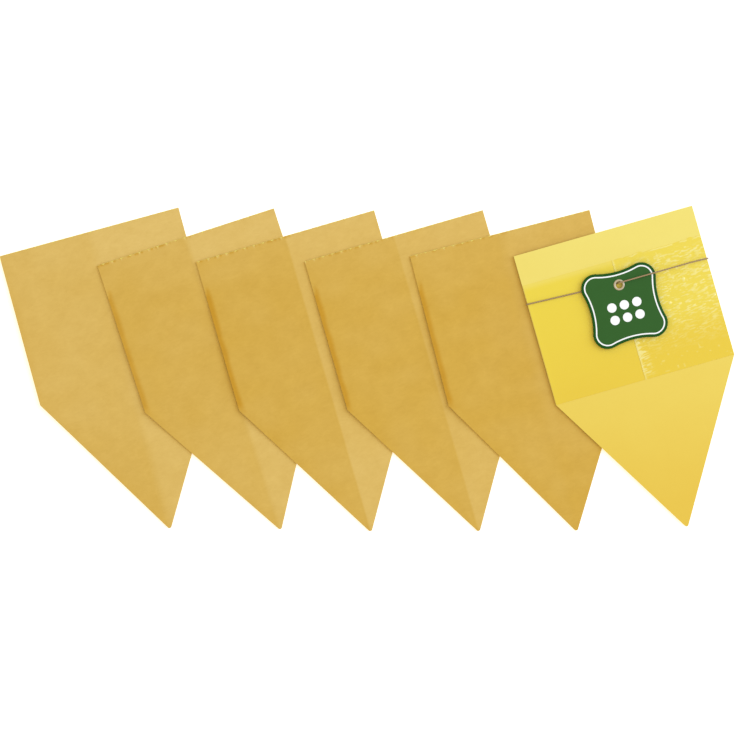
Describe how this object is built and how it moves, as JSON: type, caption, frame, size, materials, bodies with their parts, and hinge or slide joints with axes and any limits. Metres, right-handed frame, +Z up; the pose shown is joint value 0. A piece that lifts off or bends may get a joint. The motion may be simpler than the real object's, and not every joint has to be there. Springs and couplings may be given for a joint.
{
  "type": "sticky insect trap",
  "caption": "House-shaped yellow sticky boards for flying insects, laid out as a fan. The lower boards keep their release paper; the top one is bare, with a string and tag.",
  "frame": {"origin": "middle of the fan's outline, on the surface it lies on", "axes": "+X along the fan, from the covered trap at its left end to the bare trap at its right end; +Y towards the straight top edges; +Z up, the way the tacky faces look"},
  "size_m": [0.5942, 0.2632, 0.0078],
  "materials": {
    "card": "yellow coated card",
    "glue": "clear tacky coat, glossy and wet-looking",
    "release_paper": "honey-brown waxed release paper, satin and slightly see-through",
    "string": "twisted natural fibre string, matt",
    "tag_board": "dark green printed board with a white inset line",
    "eyelet_metal": "pale plated metal, satin"
  },
  "bodies": {
    "trap_1": {"card_1_right": "card", "glue_1_right": "glue", "liner_1_right": "release_paper"},
    "leaf_1": {"card_1_left": "card", "glue_1_left": "glue"},
    "flap_1": {"liner_1_left": "release_paper"},
    "trap_2": {"card_2_right": "card", "glue_2_right": "glue", "liner_2_right": "release_paper"},
    "leaf_2": {"card_2_left": "card", "glue_2_left": "glue"},
    "flap_2": {"liner_2_left": "release_paper"},
    "trap_3": {"card_3_right": "card", "glue_3_right": "glue", "liner_3_right": "release_paper"},
    "leaf_3": {"card_3_left": "card", "glue_3_left": "glue"},
    "flap_3": {"liner_3_left": "release_paper"},
    "trap_4": {"card_4_right": "card", "glue_4_right": "glue", "liner_4_right": "release_paper"},
    "leaf_4": {"card_4_left": "card", "glue_4_left": "glue"},
    "flap_4": {"liner_4_left": "release_paper"},
    "trap_5": {"card_5_right": "card", "glue_5_right": "glue", "liner_5_right": "release_paper"},
    "leaf_5": {"card_5_left": "card", "glue_5_left": "glue"},
    "flap_5": {"liner_5_left": "release_paper"},
    "trap_6": {"card_6_right": "card", "card_6_left": "card", "glue_6_right": "glue", "glue_6_left": "glue"},
    "string_loop": {"string": "string", "string_knot": "string"},
    "tag": {"tag": "tag_board", "eyelet": "eyelet_metal"}
  },
  "joints": [
    {"name": "trap_2_slide", "type": "slide", "parent": "trap_1", "child": "trap_2", "axis": [0.9994, -0.0316, -0.0116], "range_m": [-0.0832, 0]},
    {"name": "trap_3_slide", "type": "slide", "parent": "trap_2", "child": "trap_3", "axis": [0.9999, -0.0042, -0.0117], "range_m": [-0.0771, 0]},
    {"name": "trap_4_slide", "type": "slide", "parent": "trap_3", "child": "trap_4", "axis": [0.9999, 0.0019, -0.0117], "range_m": [-0.0877, 0]},
    {"name": "trap_5_slide", "type": "slide", "parent": "trap_4", "child": "trap_5", "axis": [0.9998, 0.0169, -0.0117], "range_m": [-0.0828, 0]},
    {"name": "trap_6_slide", "type": "slide", "parent": "trap_5", "child": "trap_6", "axis": [0.9996, 0.0273, -0.0118], "range_m": [-0.086, 0]},
    {"name": "leaf_1_fold", "type": "hinge", "parent": "trap_1", "child": "leaf_1", "pos_m": [-0.2248, 0.1104, 0.00136], "axis": [-0.2639, 0.9646, -0.0001], "range_deg": [0, 25]},
    {"name": "liner_1_peel", "type": "hinge", "parent": "leaf_1", "child": "flap_1", "pos_m": [-0.22769, 0.10961, 0.00165], "axis": [-0.2639, 0.9646, -0.0001], "range_deg": [0, 60]},
    {"name": "leaf_2_fold", "type": "hinge", "parent": "trap_2", "child": "leaf_2", "pos_m": [-0.14663, 0.10629, 0.00136], "axis": [-0.309, 0.9511, 0.0004], "range_deg": [0, 25]},
    {"name": "liner_2_peel", "type": "hinge", "parent": "leaf_2", "child": "flap_2", "pos_m": [-0.14948, 0.10536, 0.00165], "axis": [-0.309, 0.9511, 0.0004], "range_deg": [0, 60]},
    {"name": "leaf_3_fold", "type": "hinge", "parent": "trap_3", "child": "leaf_3", "pos_m": [-0.0662, 0.10699, 0.00136], "axis": [-0.279, 0.9603, 0], "range_deg": [0, 25]},
    {"name": "liner_3_peel", "type": "hinge", "parent": "leaf_3", "child": "flap_3", "pos_m": [-0.06908, 0.10615, 0.00165], "axis": [-0.279, 0.9603, 0], "range_deg": [0, 60]},
    {"name": "leaf_4_fold", "type": "hinge", "parent": "trap_4", "child": "leaf_4", "pos_m": [0.02165, 0.10721, 0.00136], "axis": [-0.2773, 0.9608, 0], "range_deg": [0, 25]},
    {"name": "liner_4_peel", "type": "hinge", "parent": "leaf_4", "child": "flap_4", "pos_m": [0.01877, 0.10638, 0.00165], "axis": [-0.2773, 0.9608, 0], "range_deg": [0, 60]},
    {"name": "leaf_5_fold", "type": "hinge", "parent": "trap_5", "child": "leaf_5", "pos_m": [0.10736, 0.10942, 0.00136], "axis": [-0.2504, 0.9681, -0.0003], "range_deg": [0, 25]},
    {"name": "liner_5_peel", "type": "hinge", "parent": "leaf_5", "child": "flap_5", "pos_m": [0.10446, 0.10867, 0.00165], "axis": [-0.2504, 0.9681, -0.0003], "range_deg": [0, 60]},
    {"name": "string_slide", "type": "slide", "parent": "trap_6", "child": "string_loop", "axis": [-0.274, 0.9617, 0], "range_m": [-0.06, 0.05]},
    {"name": "tag_swing", "type": "hinge", "parent": "string_loop", "child": "tag", "pos_m": [0.20378, 0.06747, 0.00506], "axis": [0.0117, 0.0034, 0.9999], "range_deg": [-40, 40]}
  ]
}
